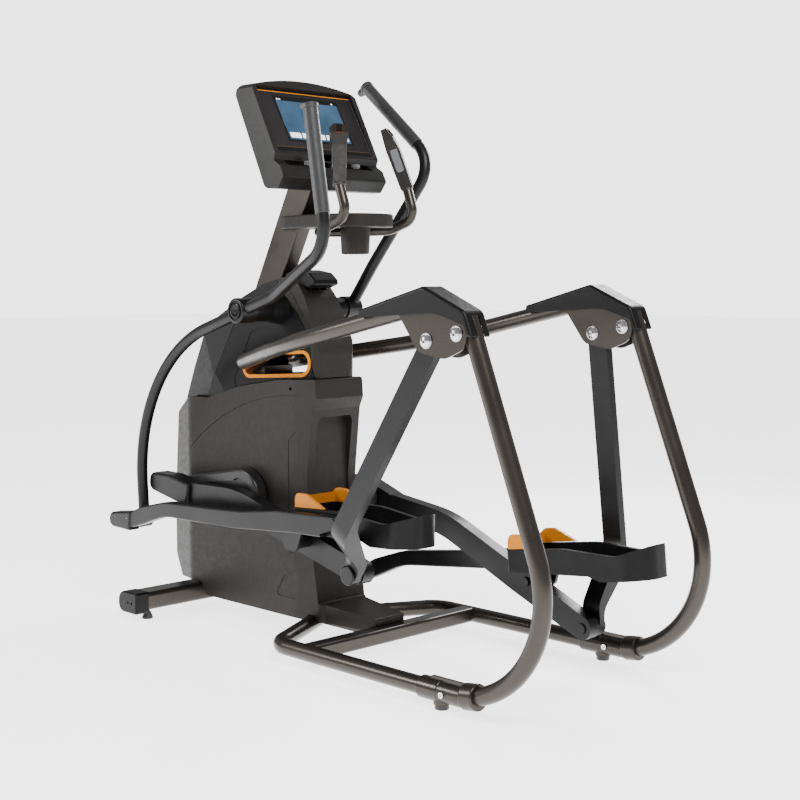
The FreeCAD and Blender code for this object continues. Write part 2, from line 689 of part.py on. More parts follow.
def fixed_grip(side):
    """Moulded grip: round below, widening to a flat head with a window for the keys."""
    face = outline(GRIP_WIDTH, lambda a, b: V(-40, a, b))
    body = Part.Face(face).extrude(V(80, 0, 0)).common(slab(GRIP_DEPTH, (-40, 40)))
    body = ease(body, 5.0, lambda e: e.BoundBox.ZMax < 150 and e.Length > 60)
    seat = aim_key(block((-15, 15), (-11, 11), (-5, 4)))
    body = grip_frame(body.cut(seat)).cut(rod(GRIP_LOW, grip_point(0.25), 16.0))
    return on_side(one_solid(body), side)


def aim_key(shape):
    """Local X runs up the sloping face of the head and local Z out of it."""
    shape = shape.copy()
    shape.rotate(V(0, 0, 0), V(0, 1, 0), -90 - KEY_TILT)
    shape.translate(V(KEY_CENTRE[0], 0, KEY_CENTRE[1]))
    return shape


def grip_key(side):
    key = ease(block((-13, 13), (-9, 9), (-4, 1.2)), 1.0, lambda e: e.BoundBox.ZMin > 1.1)
    return on_side(grip_frame(aim_key(key)), side)


def accessory_tray():
    outline_points = mirrored_outline([(655, 40, 8), (700, 62, 30), (930, 118, 80), (1085, 96, 88)])
    body = ease(plan(outline_points, TRAY_Z), 5.0, lambda e: abs(e.BoundBox.ZMax - e.BoundBox.ZMin) < 0.01)
    well = plan(mirrored_outline([(815, 66, 20), (930, 104, 70), (1071, 84, 78)]), (1334, 1400))
    cup_r, cup_x, cup_z = 49.0, 972.0, 1238.0
    cup = Part.makeCone(cup_r - 5, cup_r, TRAY_Z[0] + 12 - cup_z, V(cup_x, 0, cup_z))
    cup = ease(cup, 6.0, lambda e: e.BoundBox.ZMax < cup_z + 1)
    hollow = Part.makeCone(cup_r - 8.5, cup_r - 3, TRAY_Z[0] + 30 - cup_z, V(cup_x, 0, cup_z + 4))
    tray = body.fuse(cup).cut(well).cut(hollow).cut(mast_hole())
    bar_clear = bent_rod(HANDLEBAR, [60, 60], 16.3)
    return one_solid(tray.cut(bar_clear).cut(mirrored(bar_clear)))


CONSOLE_FACE = ((712.0, 1777.0), (843.0, 1553.0))
CONSOLE_HALF = 222.0


def console_outline(inset):
    return [(648 + inset, 1752, 26), (700, 1800 - inset, 30), (722, 1790, 8), (846, 1552, 6), (838, 1530, 6),
            (868, 1512, 5), (886 - inset, 1478, 10), (858, 1442 + inset, 14), (796 + inset, 1442 + inset, 30)]


def console_shell():
    body = slab(console_outline(0), (-CONSOLE_HALF, CONSOLE_HALF))
    crown = across([(-230, 1400), (230, 1400), (230, 1770, 40), (0, 1822, 900), (-230, 1770, 40)], (600, 950))
    lift = slab([(655, 1740), (672, 1812, 20), (712, 1812, 10), (728, 1776)], (-CONSOLE_HALF, CONSOLE_HALF))
    body = unite([body, lift]).common(crown)
    body = ease(body, 7.0, on_faces(-CONSOLE_HALF, CONSOLE_HALF))
    face = aim(block((14, 252), (-203, 203), (-9, 30)), *CONSOLE_FACE)
    groove_cut = slab([(822, 1531, 5), (880, 1531), (880, 1514), (828, 1514, 5)], (-180, 180))
    inner = slab([(668, 1748), (700, 1776), (828, 1556), (812, 1534), (812, 1470), (800, 1462)], (-205, 205))
    body = body.cut(face).cut(groove_cut).cut(inner)
    return one_solid(body.cut(mast_hole()))


def console_face():
    """Flat fascia let into the shell, with the screen opening."""
    face = aim(block((15, 251), (-202, 202), (-8.5, 0)), *CONSOLE_FACE)
    opening = aim(block((44, 206), (-133, 133), (-4, 5)), *CONSOLE_FACE)
    return one_solid(face.cut(opening))


def screen():
    glass = block((44.5, 205.5), (-132.5, 132.5), (-4, -0.8))
    return aim(glass, *CONSOLE_FACE)


# ---------------------------------------------------------------- drive
def crank_axle():
    return pin(CRANK, (-ARM_Y[0], ARM_Y[0]), AXLE_R)


def crank_arm(side):
    """Teardrop arm: a big boss on the axle and a small one at the crank pin."""
    big, small, reach = 92.0, 38.0, -CRANK_R
    lean = math.asin((big - small) / CRANK_R)
    rise, run = math.cos(lean), math.sin(lean)
    tangents = [(-big * run, big * rise), (reach - small * run, small * rise)]
    body = slab([(tangents[0][0], tangents[0][1]), (tangents[1][0], tangents[1][1]),
                 (tangents[1][0], -tangents[1][1]), (tangents[0][0], -tangents[0][1])], ARM_Y)
    for centre, radius in (((0, 0), big), ((reach, 0), small)):
        body = body.fuse(pin(centre, ARM_Y, radius))
    body = ease(body.removeSplitter(), 9.0, on_faces(ARM_Y[1]))
    dish = pin((0, 0), (ARM_Y[1] - 8, ARM_Y[1] + 5), 62).fuse(
        slab([(0, 55), (reach + 40, 16, 14), (reach + 40, -16, 14), (0, -55)], (ARM_Y[1] - 8, ARM_Y[1] + 5)))
    body = body.cut(dish.removeSplitter())
    body = body.fuse(pin((0, 0), (ARM_Y[1] - 8, ARM_Y[1] - 5), 26)).removeSplitter()
    body = body.cut(pin((0, 0), (ARM_Y[1] - 12, ARM_Y[1]), 7))
    if side == RIGHT:
        body.rotate(V(0, 0, 0), V(0, 1, 0), 180)
    body.translate(V(CRANK[0], 0, CRANK[1]))
    return on_side(one_solid(body), side)


def drive_pulley():
    disc = pin(CRANK, PULLEY_Y, PULLEY_R)
    lighten = pin(CRANK, (PULLEY_Y[0] - 1, PULLEY_Y[0] + 6), PULLEY_R - 14)
    lighten = lighten.fuse(pin(CRANK, (PULLEY_Y[1] - 6, PULLEY_Y[1] + 1), PULLEY_R - 14))
    lighten = lighten.cut(pin(CRANK, (50, 90), 34))
    disc = disc.cut(lighten).cut(pin(CRANK, (50, 90), AXLE_R))
    for i in range(6):
        angle = math.radians(60 * i)
        hole = (CRANK[0] + 85 * math.cos(angle), CRANK[1] + 85 * math.sin(angle))
        disc = disc.cut(pin(hole, (50, 90), 24))
    return disc


def flywheel():
    disc = pin(FLYWHEEL, FLYWHEEL_Y, FLYWHEEL_R)
    for y in ((FLYWHEEL_Y[0] - 1, FLYWHEEL_Y[0] + 9), (FLYWHEEL_Y[1] - 9, FLYWHEEL_Y[1] + 1)):
        disc = disc.cut(pin(FLYWHEEL, y, 92).cut(pin(FLYWHEEL, y, 30)))
    shaft = pin(FLYWHEEL, (-80, 80), 10)
    small = pin(FLYWHEEL, PULLEY_Y, SMALL_PULLEY_R)
    return unite([disc, shaft, small])


def belt_band(grow):
    """The region that a belt encloses around both pulleys."""
    centres, y = (CRANK, FLYWHEEL), (PULLEY_Y[0] + 2, PULLEY_Y[1] - 2)
    radii = (PULLEY_R + grow, SMALL_PULLEY_R + grow)
    gap = math.dist(*centres)
    tilt = math.acos((radii[0] - radii[1]) / gap)
    heading = math.atan2(centres[1][1] - centres[0][1], centres[1][0] - centres[0][0])
    def touch(i, sign):
        angle = heading + sign * tilt
        return (centres[i][0] + radii[i] * math.cos(angle), centres[i][1] + radii[i] * math.sin(angle))
    web = slab([touch(0, 1), touch(1, 1), touch(1, -1), touch(0, -1)], y)
    return unite([web, pin(centres[0], y, radii[0]), pin(centres[1], y, radii[1])])


def drive_belt():
    return one_solid(belt_band(3.3).cut(belt_band(0.3)))


def brake_unit():
    """Magnet carrier that straddles the rim of the flywheel."""
    y = (FLYWHEEL_Y[0] - 10, FLYWHEEL_Y[1] + 10)
    ring = pin(FLYWHEEL, y, 152).cut(pin(FLYWHEEL, (y[0] - 1, y[1] + 1), 100))
    gap = pin(FLYWHEEL, (FLYWHEEL_Y[0] - 4, FLYWHEEL_Y[1] + 4), FLYWHEEL_R + 4)
    sector = slab([(FLYWHEEL[0], FLYWHEEL[1]), (FLYWHEEL[0] - 240, FLYWHEEL[1] + 60),
                   (FLYWHEEL[0] - 120, FLYWHEEL[1] + 240)], (-100, 0))
    return one_solid(ring.cut(gap).common(sector))


# ---------------------------------------------------------------- moving arms
ROCKER_WIDTH, ROCKER_THICK = 66.0, 28.0


def rocker(side):
    """Local X runs from the top pivot to the knee; the foot of the bar turns in to the link."""
    top, foot, t = RAIL_Y, 229.0, ROCKER_THICK / 2
    strip = [(0, top - t), (640, top - t, 70), (800, foot - t + 3, 60), (ROCKER_LEN, foot - t + 3),
             (ROCKER_LEN, foot + t - 3), (822, foot + t - 3, 60), (700, top + t, 90), (0, top + t)]
    wire = outline(strip, lambda a, b: V(a, b, -ROCKER_WIDTH / 2))
    bar_solid = Part.Face(wire).extrude(V(0, 0, ROCKER_WIDTH))
    taper = slab([(-60, -40), (-60, 40), (700, ROCKER_WIDTH / 2, 90), (ROCKER_LEN + 34, 30, 20),
                  (ROCKER_LEN + 34, -30, 20), (700, -ROCKER_WIDTH / 2, 90)], (150, 450))
    bar_solid = ease(bar_solid.common(taper), 5.0, lambda e: e.Length > 120)
    eye = pin((0, 0), (top - 21, top + 21), 33)
    knuckle = ease(pin((ROCKER_LEN, 0), KNUCKLE_Y, 30), 5.0, on_faces(KNUCKLE_Y[1]))
    axle = pin((ROCKER_LEN, 0), (LINK_Y[0] - 3, KNUCKLE_Y[1]), 12)
    head = pin((ROCKER_LEN, 0), (LINK_Y[0] - 5, LINK_Y[0] - 0.6), 17)
    shape = unite([bar_solid, eye, knuckle, axle, head]).cut(pin((0, 0), (300, 420), 8.0 + CLEAR))
    placed = aim(one_solid(shape), ROCKER_PIVOT, KNEE)
    return carried(placed, side, "rocker", "knee")


def lower_link(side):
    """Curved bar from the crank pin to the knee, with a moulded boot over the crank pin end."""
    end = LINK_LEN
    body = slab([(40, 34, 20), (330, 92, 500), (680, 62, 400), (end + 34, 35, 34), (end + 34, -35, 34),
                 (660, -14, 500), (330, 18, 400), (40, -34, 20)], LINK_Y)
    ear = pin(BEAM_ON_LINK, LINK_Y, 34)
    body = ease(unite([body, ear]), 4.0, lambda e: e.Length > 200)
    pinned = pin((end, 0), (100, 300), 12 + CLEAR)
    saddle = pin(BEAM_ON_LINK, (100, 300), 10 + CLEAR)
    body = body.cut(pinned).cut(saddle)
    y = (LINK_Y[0] - 3.5, LINK_Y[1] + 14)
    boot = slab([(-128, -34, 28), (-128, 26, 28), (-20, 44, 60), (95, 42, 12), (95, -38, 12)], y)
    boot = ease(boot, 8.0, on_faces(y[1]))
    shape = one_solid(unite([body, boot]))
    placed = aim(shape, PIN, KNEE)
    return carried(placed, side, "pin", "knee")


def pedal_beam(side):
    """Drawn in place for the forward position, from the toe pivot back to the pedal."""
    tx, tz = TOE
    sx, sz = SADDLE
    top = [(tx - 6, tz + 28), (tx + 66, tz + 58, 120), (tx + 205, tz + 90, 300), (tx + 440, tz + 99, 300),
           (tx + 620, tz + 108, 300), (sx - 42, sz + 98, 60), (sx + 232, sz + 108, 14)]
    under = [(sx + 232, sz + 42, 14), (sx + 30, sz + 36, 40), (tx + 560, tz + 46, 300),
             (tx + 200, tz + 40, 300), (tx + 70, tz - 4, 120), (tx - 6, tz - 26)]
    body = ease(slab(top + under, BEAM_Y), 6.0, lambda e: e.Length > 60)
    body = body.cut(slab([(sx + 165, sz + 30), (sx + 245, sz + 30), (sx + 245, sz + 75), (sx + 165, sz + 51)],
                         (BEAM_Y[0] + 14, BEAM_Y[1] + 5)))
    lug = slab([(sx - 58, sz + 52, 10), (sx - 28, sz - 26, 26), (sx + 28, sz - 26, 26), (sx + 58, sz + 52, 10)],
               (BEAM_Y[0], BEAM_Y[0] + 12))
    spacer = pin(SADDLE, (LINK_Y[1] + 1, BEAM_Y[0] + 1), 24)
    axle = pin(SADDLE, (LINK_Y[0] - 2, BEAM_Y[0] + 12), 10)
    head = pin(SADDLE, (LINK_Y[0] - 8, LINK_Y[0] - 1), 15)
    cap_y = (BEAM_Y[0] - 4, BEAM_Y[1] + 5)
    cap = slab([(tx - 126, tz - 30, 26), (tx + 4, tz - 34, 8), (tx + 10, tz + 36, 8), (tx - 116, tz + 20, 28)], cap_y)
    cap = ease(cap, 8.0, on_faces(*cap_y))
    holes = [pin((tx + dx, tz + dz), (cap_y[1] - 3, cap_y[1] + 5), 4.0)
             for dx, dz in ((-88, 6), (-78, -16), (-14, 8))]
    cap = cap.cut(Part.makeCompound(holes))
    shape = one_solid(unite([body, lug, spacer, axle, head, cap]))
    return carried(shape, side, "saddle", "toe")


PEDAL_X = (-5.0, 492.0)
PEDAL_RISE = 42.0


def pedal_plan(inset, z):
    """Footprint: straight front box that rounds off behind the heel."""
    x0, x1 = SADDLE[0] + PEDAL_X[0] + inset, SADDLE[0] + PEDAL_X[1] - inset
    y0, y1 = PEDAL_Y[0] + inset, PEDAL_Y[1] - inset
    heel, toe = 50 - inset, 16 - inset / 3
    points = [(x0, y0, toe), (x0 + 250, y0, 300), (x1 - 60, y0 + 8, 60), (x1, y0 + 50, heel),
              (x1, y1 - 50, heel), (x1 - 60, y1 - 8, 60), (x0 + 250, y1, 300), (x0, y1, toe)]
    return plan(points, z)


def pedal(side):
    sx, sz = SADDLE
    floor = sz + PEDAL_RISE
    heights = slab([(sx - 20, floor), (sx + 300, floor, 20), (sx + 338, floor - 14, 20), (sx + 500, floor - 6),
                    (sx + 500, floor + 92), (sx + 392, floor + 58, 110), (sx + 215, floor + 76, 200),
                    (sx - 20, floor + 65)], (PEDAL_Y[0] - 5, PEDAL_Y[1] + 5))
    body = pedal_plan(0, (floor - 40, floor + 120)).common(heights)
    well = pedal_plan(15, (floor + 12, floor + 160))
    body = body.cut(well)
    return carried(one_solid(body), side, "saddle", "toe")


def toe_cup(side):
    """Raised collar around the front of the foot well."""
    sx, sz = SADDLE
    floor, front = sz + PEDAL_RISE, sx + PEDAL_X[0]
    outer = pedal_plan(1.5, (floor + 30, floor + 130)).cut(pedal_plan(12.8, (floor + 12, floor + 140)))
    shape = slab([(front - 5, floor + 66.5), (front + 20, floor + 112, 14), (front + 62, floor + 112, 24),
                  (front + 142, floor + 75)], (0, 400))
    cup = one_solid(outer.common(shape))
    return carried(cup, side, "saddle", "toe")


def handle_lower_points():
    tx, tz = TOE
    return [(HANDLE_PIVOT[0] - 20, HANDLE_Y, HANDLE_PIVOT[1] - 11), (98, HANDLE_Y, 873), (tx, HANDLE_Y, tz)]


HANDLE_R = 19.0
HANDLE_UPPER = [(700.0, HANDLE_Y, 1061.0), (865.0, 246.0, 1108.0), (1221.0, 345.0, 1255.0),
                (1147.0, 340.0, 1655.0)]


def handle_arm(side):
    lower = bent_rod(handle_lower_points(), [540], HANDLE_R)
    upper = bent_rod(HANDLE_UPPER, [120, 110], HANDLE_R)
    hollow = bent_rod(HANDLE_UPPER, [120, 110], HANDLE_R - WALL)
    low_hollow = bent_rod(handle_lower_points(), [540], HANDLE_R - WALL)
    hub = ease(pin(HANDLE_PIVOT, HUB_Y, 41), 5.0, on_faces(HUB_Y[1]))
    rim = pin(HANDLE_PIVOT, (HUB_Y[1] - 4, HUB_Y[1] + 5), 31).cut(pin(HANDLE_PIVOT, (HUB_Y[1] - 4, 290), 22))
    eye = ease(pin(TOE, (HANDLE_Y - 21, HANDLE_Y + 19.5), 27), 4.0, on_faces(HANDLE_Y - 21))
    tubes = unite([lower, upper]).cut(unite([low_hollow, hollow]))
    shape = unite([tubes, hub.cut(rim), eye])
    shape = shape.cut(pin(HANDLE_PIVOT, (HUB_Y[0] - 1, HUB_Y[1] - 5.5), 12.5 + CLEAR))
    return carried(one_solid(shape), side, "handle", "toe")


def along_grip(t):
    a, b = HANDLE_UPPER[2], HANDLE_UPPER[3]
    return tuple(p + (q - p) * t for p, q in zip(a, b))


def handle_grip(side):
    """Rubber sleeve over the upper tube with a lens-shaped stop at its end."""
    low, high = along_grip(0.24), along_grip(1.0)
    sleeve = ease(rod(low, high, 22.0), 2.0, lambda e: e.Length > 100)
    end = along_grip(1.035)
    up = (V(*high) - V(*low)).normalize()
    disc = Part.makeCylinder(24, 14, V(*high), up)
    fin = Part.makeCylinder(17, 12, V(high[0] - 24, high[1] - 4, high[2] + 2), up)
    stop = ease(unite([disc, fin]), 3.5, lambda e: e.Length > 40)
    inner = Part.makeCylinder(HANDLE_R, (V(*high) - V(*low)).Length, V(*low), up)
    shape = one_solid(unite([sleeve, stop]).cut(inner))
    return carried(shape, side, "handle", "toe")


# ---------------------------------------------------------------- the machine
def per_side(builders):
    for name, build in builders.items():
        for word, side in SIDES.items():
            yield name + "_" + word, build(side)


def nodes():
    single = {
        "main_frame": main_frame, "front_stabilizer": front_stabilizer, "levelling_feet": levelling_feet,
        "cross_member": cross_member, "frame_bolts": frame_bolts, "rear_shell": rear_shell,
        "front_panel": front_panel, "top_cap": top_cap, "slot_frames": slot_frames, "mast": mast,
        "fixed_handlebar": fixed_handlebar, "accessory_tray": accessory_tray,
        "console_shell": console_shell, "console_face": console_face, "screen": screen,
        "crank_axle": crank_axle, "drive_pulley": drive_pulley, "flywheel": flywheel,
        "drive_belt": drive_belt, "brake_unit": brake_unit,
    }
    paired = {
        "stabilizer_cap": stabilizer_cap, "transport_wheel": transport_wheel, "base_tube": base_tube,
        "rear_socket": rear_socket, "rear_upright": rear_upright, "side_rail": side_rail,
        "gusset": gusset, "gusset_cover": gusset_cover, "lower_shell": lower_shell,
        "upper_shell": upper_shell, "fixed_grip": fixed_grip, "grip_key": grip_key,
        "crank_arm": crank_arm, "rocker": rocker, "lower_link": lower_link,
        "pedal_beam": pedal_beam, "pedal": pedal, "toe_cup": toe_cup, "handle_arm": handle_arm,
        "handle_grip": handle_grip,
    }
    for name, build in single.items():
        yield name, build()
    yield from per_side(paired)


def save(name, shape):
    moved = shape.copy()
    moved.translate(V(-CENTRE_X, 0, 0))
    if not moved.isValid():
        print("not valid:", name)
    moved.exportStep("parts/" + name + ".step")
    return moved.BoundBox


def build():
    whole = FreeCAD.BoundBox()
    count = 0
    for name, shape in nodes():
        whole.add(save(name, shape))
        count += 1
    print(count, "nodes; x", round(whole.XMin, 1), round(whole.XMax, 1), "y", round(whole.YMin, 1),
          round(whole.YMax, 1), "z", round(whole.ZMin, 1), round(whole.ZMax, 1))


build()
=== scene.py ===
import math

import bmesh
import bpy
from mathutils import Matrix, Vector


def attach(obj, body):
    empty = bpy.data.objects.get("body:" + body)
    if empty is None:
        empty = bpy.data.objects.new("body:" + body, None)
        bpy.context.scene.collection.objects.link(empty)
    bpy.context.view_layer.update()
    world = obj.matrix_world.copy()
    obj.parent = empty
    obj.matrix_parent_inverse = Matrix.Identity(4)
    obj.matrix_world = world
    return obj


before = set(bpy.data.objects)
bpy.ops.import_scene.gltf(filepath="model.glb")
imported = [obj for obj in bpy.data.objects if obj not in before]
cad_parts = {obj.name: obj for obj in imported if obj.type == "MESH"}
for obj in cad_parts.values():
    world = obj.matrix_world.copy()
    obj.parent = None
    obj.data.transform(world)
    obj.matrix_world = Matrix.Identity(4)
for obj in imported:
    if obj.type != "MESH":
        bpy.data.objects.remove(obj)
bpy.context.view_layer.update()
SIDES = {"left": -1.0, "right": 1.0}
MM = 0.001
CENTRE_X = 1.043          # distance from the machine's nose to the middle of the frame's X axis, metres
LEVEL_TOLERANCE = 1e-7    # points this close in height lie on one level, metres
STEEP = 0.5               # faces with a smaller upright share in their normal count as walls


# ---------------------------------------------------------------- materials
class Recipe:
    """A node material that is built up step by step on one Principled shader."""

    def __init__(self, name, color, roughness, metallic=0.0, specular=0.5):
        self.material = bpy.data.materials.new(name)
        self.material.use_nodes = True
        self.tree = self.material.node_tree
        self.shader = self.tree.nodes["Principled BSDF"]
        self.coords = self.node("ShaderNodeTexCoord").outputs["Object"]
        self.color = color
        self.height = None
        self.set(**{"Base Color": (*color, 1.0), "Roughness": roughness, "Metallic": metallic,
                    "Specular IOR Level": specular})
        self.roughness = roughness

    def node(self, kind, **values):
        made = self.tree.nodes.new(kind)
        for key, value in values.items():
            if key in made.inputs:
                made.inputs[key].default_value = value
            else:
                setattr(made, key, value)
        return made

    def link(self, a, b):
        self.tree.links.new(a, b)

    def set(self, **values):
        for key, value in values.items():
            self.shader.inputs[key].default_value = value
        return self

    def noise(self, scale, detail=4.0, rough=0.55, stretch=None):
        made = self.node("ShaderNodeTexNoise", Scale=scale, Detail=detail, Roughness=rough)
        source = self.coords
        if stretch:
            mapping = self.node("ShaderNodeMapping", Scale=stretch)
            self.link(source, mapping.inputs["Vector"])
            source = mapping.outputs["Vector"]
        self.link(source, made.inputs["Vector"])
        return made.outputs["Fac"]

    def cells(self, scale, feature="F1"):
        made = self.node("ShaderNodeTexVoronoi", Scale=scale, feature=feature)
        self.link(self.coords, made.inputs["Vector"])
        return made.outputs["Distance"]

    def remap(self, value, low, high, start=0.35, stop=0.65):
        made = self.node("ShaderNodeMapRange")
        for key, number in (("From Min", start), ("From Max", stop), ("To Min", low), ("To Max", high)):
            made.inputs[key].default_value = number
        self.link(value, made.inputs["Value"])
        return made.outputs["Result"]

    def tint(self, value, amount):
        """Lightens and darkens the colour a little where value is high and low."""
        mix = self.node("ShaderNodeMix", data_type="RGBA")
        mix.inputs[6].default_value = (*[c * (1 - amount) for c in self.color], 1.0)
        mix.inputs[7].default_value = (*[min(1.0, c * (1 + amount)) for c in self.color], 1.0)
        self.link(value, mix.inputs[0])
        self.link(mix.outputs[2], self.shader.inputs["Base Color"])
        return self

    def vary_roughness(self, value, amount):
        result = self.remap(value, self.roughness - amount, self.roughness + amount)
        self.link(result, self.shader.inputs["Roughness"])
        return self

    def bump(self, value, distance, strength=1.0):
        made = self.node("ShaderNodeBump", Distance=distance, Strength=strength)
        self.link(value, made.inputs["Height"])
        if self.height:
            self.link(self.height, made.inputs["Normal"])
        self.height = made.outputs["Normal"]
        self.link(self.height, self.shader.inputs["Normal"])
        return self


def metallic_paint(name, color, roughness, metallic, coat=0.12):
    """Powder coat with fine flakes, a slight orange peel and soft handling marks."""
    m = Recipe(name, color, roughness, metallic, 0.22)
    m.tint(m.noise(900.0, 2.0), 0.22).vary_roughness(m.noise(7.0, 5.0), 0.05)
    m.bump(m.noise(1400.0, 1.0), 0.00003, 0.5).bump(m.noise(160.0, 2.0), 0.00006, 0.35)
    m.set(**{"Coat Weight": coat, "Coat Roughness": 0.2})
    return m.material


def moulded(name, color, roughness, grain, scale=1500.0):
    """Spark-eroded moulding grain with faint flow marks."""
    m = Recipe(name, color, roughness, 0.0, 0.16)
    m.tint(m.noise(5.0, 5.0), 0.10).vary_roughness(m.noise(60.0, 4.0), 0.06)
    m.bump(m.cells(scale), grain, 0.6).bump(m.noise(scale * 0.6, 3.0), grain * 0.8, 0.5)
    return m.material


def machined(name, color, roughness, stretch, metallic=1.0):
    """Metal with tool marks drawn out along one direction."""
    m = Recipe(name, color, roughness, metallic)
    m.tint(m.noise(40.0, 3.0), 0.10).vary_roughness(m.noise(300.0, 3.0, 0.6, stretch), 0.08)
    m.bump(m.noise(900.0, 2.0, 0.5, stretch), 0.00002, 0.6)
    return m.material


def rubber(name, color, roughness):
    m = Recipe(name, color, roughness)
    m.tint(m.noise(24.0, 4.0), 0.25).vary_roughness(m.noise(80.0, 4.0), 0.08)
    m.bump(m.cells(1900.0), 0.00004, 0.8)
    m.set(**{"Sheen Weight": 0.15, "Sheen Roughness": 0.5})
    return m.material


def display_glass():
    """Nearly black display glass under gloss."""
    m = Recipe("display_glass", (0.012, 0.016, 0.022), 0.07)
    m.tint(m.noise(9.0, 2.0), 0.5).vary_roughness(m.noise(18.0, 3.0), 0.02)
    m.set(**{"Coat Weight": 0.8, "Coat Roughness": 0.03})
    return m.material


def display_picture():
    """Soft blue picture shown on the display, brighter towards its middle."""
    m = Recipe("display_picture", (0.02, 0.05, 0.09), 0.15)
    m.tint(m.noise(9.0, 3.0), 0.5).vary_roughness(m.noise(18.0, 3.0), 0.02)
    ramp = m.node("ShaderNodeValToRGB")
    ramp.color_ramp.elements[0].position, ramp.color_ramp.elements[1].position = 0.42, 0.80
    ramp.color_ramp.elements[0].color = (0.004, 0.012, 0.022, 1.0)
    ramp.color_ramp.elements[1].color = (0.045, 0.10, 0.16, 1.0)
    m.link(m.noise(13.0, 2.0, 0.4, (1.0, 1.0, 0.6)), ramp.inputs["Fac"])
    m.link(ramp.outputs["Color"], m.shader.inputs["Emission Color"])
    m.set(**{"Emission Strength": 0.9})
    return m.material


def lit(name, color, strength):
    m = Recipe(name, color, 0.3)
    m.tint(m.noise(90.0, 2.0), 0.08).vary_roughness(m.noise(40.0, 2.0), 0.05)
    m.set(**{"Emission Color": (*color, 1.0), "Emission Strength": strength})
    return m.material


BRONZE = metallic_paint("bronze_paint", (0.044, 0.0375, 0.0325), 0.30, 0.75)
ARM_PAINT = metallic_paint("charcoal_paint", (0.030, 0.029, 0.029), 0.32, 0.5)
BLACK_METAL = metallic_paint("black_paint", (0.0045, 0.0045, 0.005), 0.34, 0.0, 0.04)
SHROUD = moulded("shroud_plastic", (0.0150, 0.0128, 0.0112), 0.46, 0.00004)
BLACK_PLASTIC = moulded("black_plastic", (0.0032, 0.0032, 0.0036), 0.42, 0.00004)
DARK_PLASTIC = moulded("charcoal_plastic", (0.012, 0.0117, 0.012), 0.46, 0.00004)
CONSOLE_PLASTIC = moulded("console_plastic", (0.012, 0.0112, 0.0105), 0.38, 0.000015)
FASCIA = moulded("fascia_plastic", (0.0125, 0.011, 0.012), 0.5, 0.00003)
GLOSS_BLACK = moulded("gloss_black", (0.006, 0.006, 0.007), 0.14, 0.00001)
AMBER = moulded("amber_plastic", (0.56, 0.185, 0.004), 0.36, 0.00003)
BROWN = moulded("brown_line", (0.07, 0.032, 0.014), 0.45, 0.00002)
GREY = moulded("grey_plastic", (0.16, 0.16, 0.165), 0.38, 0.00003)
RUBBER = rubber("black_rubber", (0.009, 0.009, 0.010), 0.50)
STEEL = machined("turned_steel", (0.42, 0.41, 0.40), 0.30, (1.0, 30.0, 1.0))
CHROME = machined("plated_steel", (0.60, 0.60, 0.62), 0.14, (8.0, 1.0, 8.0))
PULSE = machined("pulse_plate", (0.20, 0.205, 0.22), 0.36, (1.0, 1.0, 20.0))
IRON = machined("lacquered_iron", (0.07, 0.07, 0.072), 0.38, (1.0, 20.0, 1.0), 0.8)
SCREEN = display_glass()
PICTURE = display_picture()
TILE = lit("display_tile", (0.75, 0.76, 0.78), 1.4)

LOOKS = {
    BRONZE: ["main_frame", "front_stabilizer", "cross_member", "mast", "fixed_handlebar", "base_tube",
             "rear_socket", "rear_upright", "side_rail", "gusset"],
    ARM_PAINT: ["crank_arm"],
    BLACK_METAL: ["handle_arm", "rocker", "lower_link", "pedal_beam", "brake_unit"],
    SHROUD: ["lower_shell", "rear_shell", "accessory_tray", "fixed_grip"],
    DARK_PLASTIC: ["front_panel"],
    CONSOLE_PLASTIC: ["console_shell"],
    BLACK_PLASTIC: ["stabilizer_cap", "gusset_cover", "upper_shell", "top_cap", "pedal"],
    FASCIA: ["console_face"],
    GLOSS_BLACK: ["grip_key"],
    AMBER: ["slot_frames", "toe_cup"],
    RUBBER: ["transport_wheel", "levelling_feet", "handle_grip", "drive_belt"],
    STEEL: ["crank_axle"],
    CHROME: ["frame_bolts"],
    IRON: ["drive_pulley", "flywheel"],
    SCREEN: ["screen"],
}
BEVELS = {"lower_shell": 2.0, "rear_shell": 2.0, "pedal": 1.6, "toe_cup": 1.2, "gusset_cover": 1.5,
          "accessory_tray": 1.5, "console_shell": 1.2, "mast": 0.8, "slot_frames": 1.5, "upper_shell": 1.2,
          "fixed_grip": 1.0, "top_cap": 1.0, "front_panel": 1.2, "gusset": 0.6, "crank_arm": 0.8}


def base_name(name):
    return name.removesuffix("_left").removesuffix("_right")


def dress_nodes():
    """Gives every CAD node its material and softens the edges of the moulded ones."""
    owner = {node: material for material, names in LOOKS.items() for node in names}
    for name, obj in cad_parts.items():
        obj.data.materials.clear()
        obj.data.materials.append(owner[base_name(name)])
        width = BEVELS.get(base_name(name))
        if width:
            bevel = obj.modifiers.new("edge", "BEVEL")
            bevel.width = width * MM
            bevel.segments = 2
            bevel.limit_method = "ANGLE"
            bevel.angle_limit = math.radians(35)
            bevel.harden_normals = False


dress_nodes()


# ---------------------------------------------------------------- detail pieces
def local(origin, x_axis, z_axis):
    """Matrix of a flat face: its X runs along it and its Z points out of it."""
    x, z = Vector(x_axis).normalized(), Vector(z_axis).normalized()
    y = z.cross(x).normalized()
    matrix = Matrix((x, y, z)).transposed().to_4x4()
    matrix.translation = Vector(origin)
    return matrix


def mirror_y():
    return Matrix.Scale(-1.0, 4, (0.0, 1.0, 0.0))


